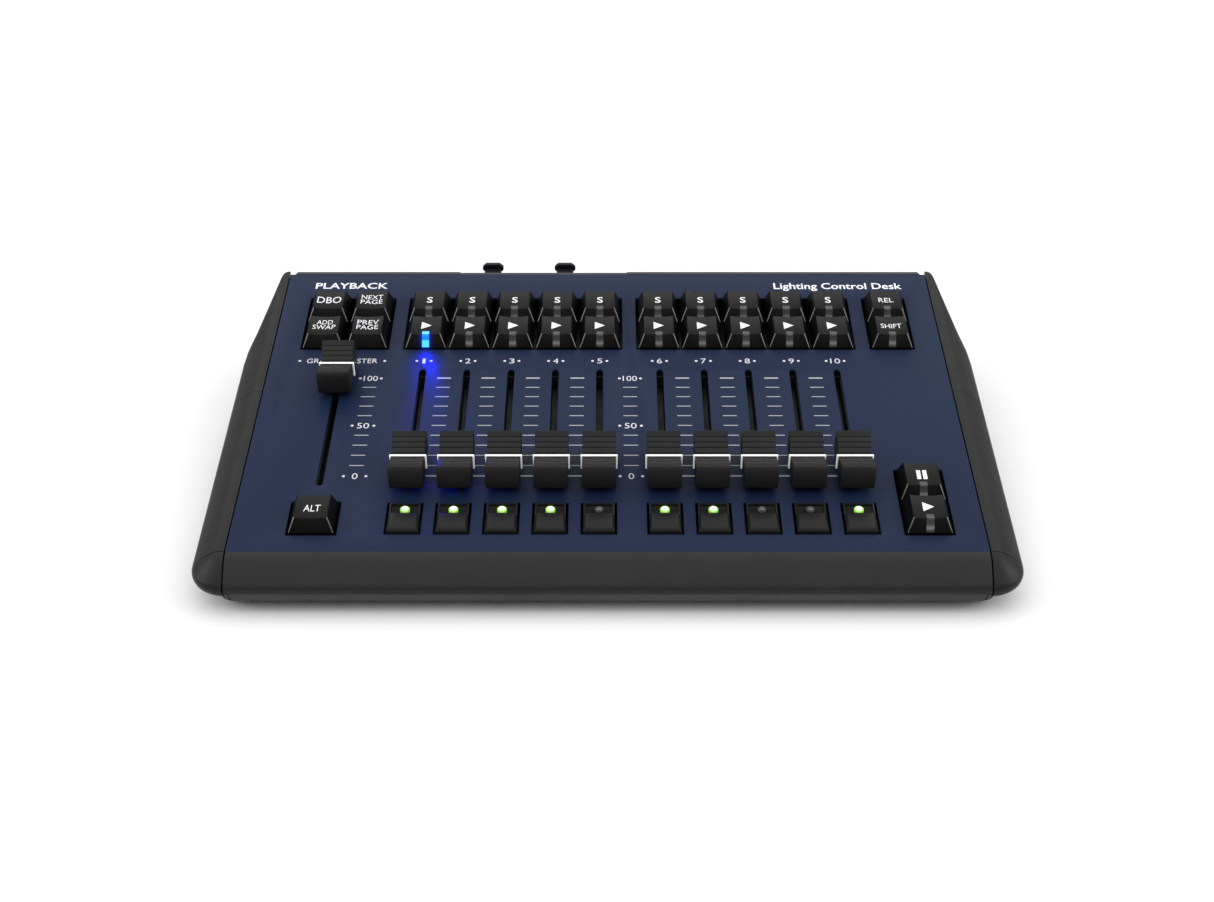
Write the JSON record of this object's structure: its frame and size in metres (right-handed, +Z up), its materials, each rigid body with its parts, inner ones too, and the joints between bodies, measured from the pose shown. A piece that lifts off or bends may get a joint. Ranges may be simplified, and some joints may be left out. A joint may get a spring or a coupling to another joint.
{
  "type": "lighting control desk",
  "caption": "Sloping lighting control desk with sliding faders, blocks of square keys, flash buttons with lamps and two latching round output sockets at the back.",
  "frame": {"origin": "on the surface the desk stands on, under the middle of its whole footprint, socket latches included", "axes": "+X to the operator's right, +Y to the back of the desk, +Z up"},
  "size_m": [0.32, 0.2062, 0.0499],
  "materials": {
    "panel_paint": "fine textured powder coat, deep blue",
    "tray_paint": "smooth powder coat, dark grey",
    "rail_plastic": "satin moulded plastic, dark grey",
    "key_plastic": "satin moulded keycap, near black",
    "flash_plastic": "satin moulded button, near black",
    "cap_plastic": "satin moulded fader cap, near black",
    "latch_plastic": "satin black plastic",
    "board_laminate": "green circuit board laminate with black and metal components",
    "foot_rubber": "matt black rubber"
  },
  "bodies": {
    "desk": {"top_panel": "panel_paint", "base_tray": "tray_paint", "front_bar": "rail_plastic", "left_cheek": "rail_plastic", "right_cheek": "rail_plastic", "main_board": "board_laminate", "front_foot_strip": "foot_rubber", "rear_foot_strip": "foot_rubber"},
    "fader_cap_1": {"fader_cap_1": "cap_plastic"},
    "fader_cap_2": {"fader_cap_2": "cap_plastic"},
    "fader_cap_3": {"fader_cap_3": "cap_plastic"},
    "fader_cap_4": {"fader_cap_4": "cap_plastic"},
    "fader_cap_5": {"fader_cap_5": "cap_plastic"},
    "fader_cap_6": {"fader_cap_6": "cap_plastic"},
    "fader_cap_7": {"fader_cap_7": "cap_plastic"},
    "fader_cap_8": {"fader_cap_8": "cap_plastic"},
    "fader_cap_9": {"fader_cap_9": "cap_plastic"},
    "fader_cap_10": {"fader_cap_10": "cap_plastic"},
    "master_fader_cap": {"master_fader_cap": "cap_plastic"},
    "select_key_1": {"select_key_1": "key_plastic"},
    "select_key_2": {"select_key_2": "key_plastic"},
    "select_key_3": {"select_key_3": "key_plastic"},
    "select_key_4": {"select_key_4": "key_plastic"},
    "select_key_5": {"select_key_5": "key_plastic"},
    "select_key_6": {"select_key_6": "key_plastic"},
    "select_key_7": {"select_key_7": "key_plastic"},
    "select_key_8": {"select_key_8": "key_plastic"},
    "select_key_9": {"select_key_9": "key_plastic"},
    "select_key_10": {"select_key_10": "key_plastic"},
    "go_key_1": {"go_key_1": "key_plastic"},
    "go_key_2": {"go_key_2": "key_plastic"},
    "go_key_3": {"go_key_3": "key_plastic"},
    "go_key_4": {"go_key_4": "key_plastic"},
    "go_key_5": {"go_key_5": "key_plastic"},
    "go_key_6": {"go_key_6": "key_plastic"},
    "go_key_7": {"go_key_7": "key_plastic"},
    "go_key_8": {"go_key_8": "key_plastic"},
    "go_key_9": {"go_key_9": "key_plastic"},
    "go_key_10": {"go_key_10": "key_plastic"},
    "blackout_key": {"blackout_key": "key_plastic"},
    "next_page_key": {"next_page_key": "key_plastic"},
    "add_swap_key": {"add_swap_key": "key_plastic"},
    "prev_page_key": {"prev_page_key": "key_plastic"},
    "release_key": {"release_key": "key_plastic"},
    "shift_key": {"shift_key": "key_plastic"},
    "pause_key": {"pause_key": "key_plastic"},
    "master_go_key": {"master_go_key": "key_plastic"},
    "alt_key": {"alt_key": "key_plastic"},
    "flash_button_1": {"flash_button_1": "flash_plastic"},
    "flash_button_2": {"flash_button_2": "flash_plastic"},
    "flash_button_3": {"flash_button_3": "flash_plastic"},
    "flash_button_4": {"flash_button_4": "flash_plastic"},
    "flash_button_5": {"flash_button_5": "flash_plastic"},
    "flash_button_6": {"flash_button_6": "flash_plastic"},
    "flash_button_7": {"flash_button_7": "flash_plastic"},
    "flash_button_8": {"flash_button_8": "flash_plastic"},
    "flash_button_9": {"flash_button_9": "flash_plastic"},
    "flash_button_10": {"flash_button_10": "flash_plastic"},
    "socket_latch_1": {"socket_latch_1": "latch_plastic"},
    "socket_latch_2": {"socket_latch_2": "latch_plastic"}
  },
  "joints": [
    {"name": "select_key_1_press", "type": "slide", "parent": "desk", "child": "select_key_1", "axis": [0, 0.1392, -0.9903], "range_m": [0, 0.004], "stiffness_N_per_m": 120, "springref_m": -0.003},
    {"name": "select_key_2_press", "type": "slide", "parent": "desk", "child": "select_key_2", "axis": [0, 0.1392, -0.9903], "range_m": [0, 0.004], "stiffness_N_per_m": 120, "springref_m": -0.003},
    {"name": "select_key_3_press", "type": "slide", "parent": "desk", "child": "select_key_3", "axis": [0, 0.1392, -0.9903], "range_m": [0, 0.004], "stiffness_N_per_m": 120, "springref_m": -0.003},
    {"name": "select_key_4_press", "type": "slide", "parent": "desk", "child": "select_key_4", "axis": [0, 0.1392, -0.9903], "range_m": [0, 0.004], "stiffness_N_per_m": 120, "springref_m": -0.003},
    {"name": "select_key_5_press", "type": "slide", "parent": "desk", "child": "select_key_5", "axis": [0, 0.1392, -0.9903], "range_m": [0, 0.004], "stiffness_N_per_m": 120, "springref_m": -0.003},
    {"name": "select_key_6_press", "type": "slide", "parent": "desk", "child": "select_key_6", "axis": [0, 0.1392, -0.9903], "range_m": [0, 0.004], "stiffness_N_per_m": 120, "springref_m": -0.003},
    {"name": "select_key_7_press", "type": "slide", "parent": "desk", "child": "select_key_7", "axis": [0, 0.1392, -0.9903], "range_m": [0, 0.004], "stiffness_N_per_m": 120, "springref_m": -0.003},
    {"name": "select_key_8_press", "type": "slide", "parent": "desk", "child": "select_key_8", "axis": [0, 0.1392, -0.9903], "range_m": [0, 0.004], "stiffness_N_per_m": 120, "springref_m": -0.003},
    {"name": "select_key_9_press", "type": "slide", "parent": "desk", "child": "select_key_9", "axis": [0, 0.1392, -0.9903], "range_m": [0, 0.004], "stiffness_N_per_m": 120, "springref_m": -0.003},
    {"name": "select_key_10_press", "type": "slide", "parent": "desk", "child": "select_key_10", "axis": [0, 0.1392, -0.9903], "range_m": [0, 0.004], "stiffness_N_per_m": 120, "springref_m": -0.003},
    {"name": "go_key_1_press", "type": "slide", "parent": "desk", "child": "go_key_1", "axis": [0, 0.1392, -0.9903], "range_m": [0, 0.004], "stiffness_N_per_m": 120, "springref_m": -0.003},
    {"name": "go_key_2_press", "type": "slide", "parent": "desk", "child": "go_key_2", "axis": [0, 0.1392, -0.9903], "range_m": [0, 0.004], "stiffness_N_per_m": 120, "springref_m": -0.003},
    {"name": "go_key_3_press", "type": "slide", "parent": "desk", "child": "go_key_3", "axis": [0, 0.1392, -0.9903], "range_m": [0, 0.004], "stiffness_N_per_m": 120, "springref_m": -0.003},
    {"name": "go_key_4_press", "type": "slide", "parent": "desk", "child": "go_key_4", "axis": [0, 0.1392, -0.9903], "range_m": [0, 0.004], "stiffness_N_per_m": 120, "springref_m": -0.003},
    {"name": "go_key_5_press", "type": "slide", "parent": "desk", "child": "go_key_5", "axis": [0, 0.1392, -0.9903], "range_m": [0, 0.004], "stiffness_N_per_m": 120, "springref_m": -0.003},
    {"name": "go_key_6_press", "type": "slide", "parent": "desk", "child": "go_key_6", "axis": [0, 0.1392, -0.9903], "range_m": [0, 0.004], "stiffness_N_per_m": 120, "springref_m": -0.003},
    {"name": "go_key_7_press", "type": "slide", "parent": "desk", "child": "go_key_7", "axis": [0, 0.1392, -0.9903], "range_m": [0, 0.004], "stiffness_N_per_m": 120, "springref_m": -0.003},
    {"name": "go_key_8_press", "type": "slide", "parent": "desk", "child": "go_key_8", "axis": [0, 0.1392, -0.9903], "range_m": [0, 0.004], "stiffness_N_per_m": 120, "springref_m": -0.003},
    {"name": "go_key_9_press", "type": "slide", "parent": "desk", "child": "go_key_9", "axis": [0, 0.1392, -0.9903], "range_m": [0, 0.004], "stiffness_N_per_m": 120, "springref_m": -0.003},
    {"name": "go_key_10_press", "type": "slide", "parent": "desk", "child": "go_key_10", "axis": [0, 0.1392, -0.9903], "range_m": [0, 0.004], "stiffness_N_per_m": 120, "springref_m": -0.003},
    {"name": "blackout_key_press", "type": "slide", "parent": "desk", "child": "blackout_key", "axis": [0, 0.1392, -0.9903], "range_m": [0, 0.004], "stiffness_N_per_m": 120, "springref_m": -0.003},
    {"name": "next_page_key_press", "type": "slide", "parent": "desk", "child": "next_page_key", "axis": [0, 0.1392, -0.9903], "range_m": [0, 0.004], "stiffness_N_per_m": 120, "springref_m": -0.003},
    {"name": "add_swap_key_press", "type": "slide", "parent": "desk", "child": "add_swap_key", "axis": [0, 0.1392, -0.9903], "range_m": [0, 0.004], "stiffness_N_per_m": 120, "springref_m": -0.003},
    {"name": "prev_page_key_press", "type": "slide", "parent": "desk", "child": "prev_page_key", "axis": [0, 0.1392, -0.9903], "range_m": [0, 0.004], "stiffness_N_per_m": 120, "springref_m": -0.003},
    {"name": "release_key_press", "type": "slide", "parent": "desk", "child": "release_key", "axis": [0, 0.1392, -0.9903], "range_m": [0, 0.004], "stiffness_N_per_m": 120, "springref_m": -0.003},
    {"name": "shift_key_press", "type": "slide", "parent": "desk", "child": "shift_key", "axis": [0, 0.1392, -0.9903], "range_m": [0, 0.004], "stiffness_N_per_m": 120, "springref_m": -0.003},
    {"name": "pause_key_press", "type": "slide", "parent": "desk", "child": "pause_key", "axis": [0, 0.1392, -0.9903], "range_m": [0, 0.004], "stiffness_N_per_m": 120, "springref_m": -0.003},
    {"name": "master_go_key_press", "type": "slide", "parent": "desk", "child": "master_go_key", "axis": [0, 0.1392, -0.9903], "range_m": [0, 0.004], "stiffness_N_per_m": 120, "springref_m": -0.003},
    {"name": "alt_key_press", "type": "slide", "parent": "desk", "child": "alt_key", "axis": [0, 0.1392, -0.9903], "range_m": [0, 0.004], "stiffness_N_per_m": 120, "springref_m": -0.003},
    {"name": "flash_button_1_press", "type": "slide", "parent": "desk", "child": "flash_button_1", "axis": [0, 0.1392, -0.9903], "range_m": [0, 0.001], "stiffness_N_per_m": 500, "springref_m": -0.001},
    {"name": "flash_button_2_press", "type": "slide", "parent": "desk", "child": "flash_button_2", "axis": [0, 0.1392, -0.9903], "range_m": [0, 0.001], "stiffness_N_per_m": 500, "springref_m": -0.001},
    {"name": "flash_button_3_press", "type": "slide", "parent": "desk", "child": "flash_button_3", "axis": [0, 0.1392, -0.9903], "range_m": [0, 0.001], "stiffness_N_per_m": 500, "springref_m": -0.001},
    {"name": "flash_button_4_press", "type": "slide", "parent": "desk", "child": "flash_button_4", "axis": [0, 0.1392, -0.9903], "range_m": [0, 0.001], "stiffness_N_per_m": 500, "springref_m": -0.001},
    {"name": "flash_button_5_press", "type": "slide", "parent": "desk", "child": "flash_button_5", "axis": [0, 0.1392, -0.9903], "range_m": [0, 0.001], "stiffness_N_per_m": 500, "springref_m": -0.001},
    {"name": "flash_button_6_press", "type": "slide", "parent": "desk", "child": "flash_button_6", "axis": [0, 0.1392, -0.9903], "range_m": [0, 0.001], "stiffness_N_per_m": 500, "springref_m": -0.001},
    {"name": "flash_button_7_press", "type": "slide", "parent": "desk", "child": "flash_button_7", "axis": [0, 0.1392, -0.9903], "range_m": [0, 0.001], "stiffness_N_per_m": 500, "springref_m": -0.001},
    {"name": "flash_button_8_press", "type": "slide", "parent": "desk", "child": "flash_button_8", "axis": [0, 0.1392, -0.9903], "range_m": [0, 0.001], "stiffness_N_per_m": 500, "springref_m": -0.001},
    {"name": "flash_button_9_press", "type": "slide", "parent": "desk", "child": "flash_button_9", "axis": [0, 0.1392, -0.9903], "range_m": [0, 0.001], "stiffness_N_per_m": 500, "springref_m": -0.001},
    {"name": "flash_button_10_press", "type": "slide", "parent": "desk", "child": "flash_button_10", "axis": [0, 0.1392, -0.9903], "range_m": [0, 0.001], "stiffness_N_per_m": 500, "springref_m": -0.001},
    {"name": "fader_cap_1_slide", "type": "slide", "parent": "desk", "child": "fader_cap_1", "axis": [0, 0.9903, 0.1392], "range_m": [0, 0.06]},
    {"name": "fader_cap_2_slide", "type": "slide", "parent": "desk", "child": "fader_cap_2", "axis": [0, 0.9903, 0.1392], "range_m": [0, 0.06]},
    {"name": "fader_cap_3_slide", "type": "slide", "parent": "desk", "child": "fader_cap_3", "axis": [0, 0.9903, 0.1392], "range_m": [0, 0.06]},
    {"name": "fader_cap_4_slide", "type": "slide", "parent": "desk", "child": "fader_cap_4", "axis": [0, 0.9903, 0.1392], "range_m": [0, 0.06]},
    {"name": "fader_cap_5_slide", "type": "slide", "parent": "desk", "child": "fader_cap_5", "axis": [0, 0.9903, 0.1392], "range_m": [0, 0.06]},
    {"name": "fader_cap_6_slide", "type": "slide", "parent": "desk", "child": "fader_cap_6", "axis": [0, 0.9903, 0.1392], "range_m": [0, 0.06]},
    {"name": "fader_cap_7_slide", "type": "slide", "parent": "desk", "child": "fader_cap_7", "axis": [0, 0.9903, 0.1392], "range_m": [0, 0.06]},
    {"name": "fader_cap_8_slide", "type": "slide", "parent": "desk", "child": "fader_cap_8", "axis": [0, 0.9903, 0.1392], "range_m": [0, 0.06]},
    {"name": "fader_cap_9_slide", "type": "slide", "parent": "desk", "child": "fader_cap_9", "axis": [0, 0.9903, 0.1392], "range_m": [0, 0.06]},
    {"name": "fader_cap_10_slide", "type": "slide", "parent": "desk", "child": "fader_cap_10", "axis": [0, 0.9903, 0.1392], "range_m": [0, 0.06]},
    {"name": "master_fader_cap_slide", "type": "slide", "parent": "desk", "child": "master_fader_cap", "axis": [0, 0.9903, 0.1392], "range_m": [-0.06, 0]},
    {"name": "socket_latch_1_push", "type": "slide", "parent": "desk", "child": "socket_latch_1", "axis": [0, -0.9903, -0.1392], "range_m": [0, 0.0012], "stiffness_N_per_m": 500, "springref_m": -0.001},
    {"name": "socket_latch_2_push", "type": "slide", "parent": "desk", "child": "socket_latch_2", "axis": [0, -0.9903, -0.1392], "range_m": [0, 0.0012], "stiffness_N_per_m": 500, "springref_m": -0.001}
  ]
}
